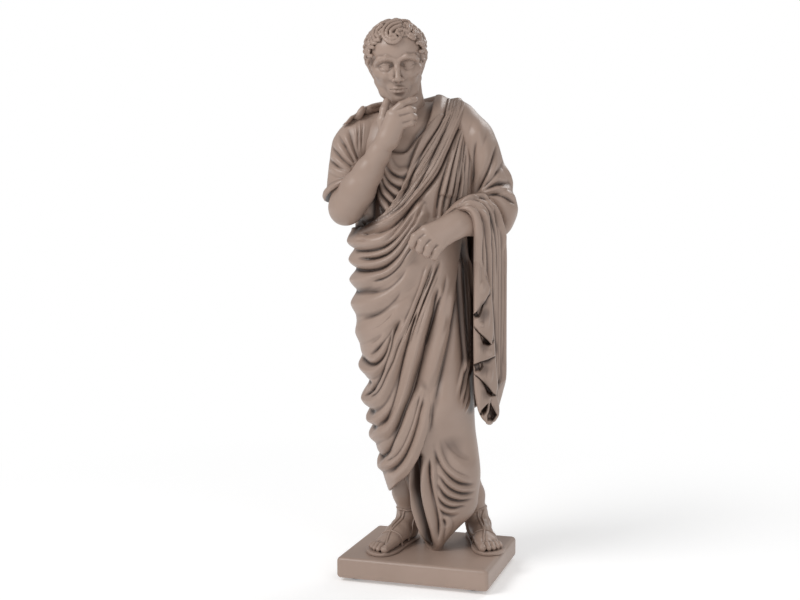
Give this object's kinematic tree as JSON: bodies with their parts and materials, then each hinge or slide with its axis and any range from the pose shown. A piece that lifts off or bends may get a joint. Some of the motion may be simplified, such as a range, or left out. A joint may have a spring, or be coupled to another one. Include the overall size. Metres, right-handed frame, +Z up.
{
  "type": "philosopher statue",
  "caption": "Standing draped thinker on a rectangular plinth, one hand at the chin, cloak over the left forearm, cast in matte taupe resin.",
  "frame": {"origin": "centre of the whole statue's footprint, on the surface that its four pads rest on", "axes": "+Z up from the pads to the head, +X to the viewer's right along the plinth's long front edge, +Y from the plinth's front to its back"},
  "size_m": [0.1007, 0.076, 0.303],
  "materials": {
    "cast_resin": "satin taupe casting resin, darker in the recesses",
    "pin_steel": "bright zinc-plated steel",
    "pad_rubber": "matte black rubber"
  },
  "bodies": {
    "root": {"plinth": "cast_resin", "robe": "cast_resin", "torso": "cast_resin", "head": "cast_resin", "right_forearm": "cast_resin", "left_hand": "cast_resin", "toga_fall": "cast_resin", "right_foot": "cast_resin", "left_foot": "cast_resin", "armature_rod": "pin_steel", "rod_washer": "pin_steel", "rod_nut": "pin_steel", "waist_pin": "pin_steel", "neck_pin": "pin_steel", "elbow_pin": "pin_steel", "wrist_pin": "pin_steel", "fall_pin_upper": "pin_steel", "fall_pin_lower": "pin_steel", "right_leg_pin": "pin_steel", "left_leg_pin": "pin_steel", "pad_front_left": "pad_rubber", "pad_front_right": "pad_rubber", "pad_back_left": "pad_rubber", "pad_back_right": "pad_rubber"}
  },
  "joints": []
}
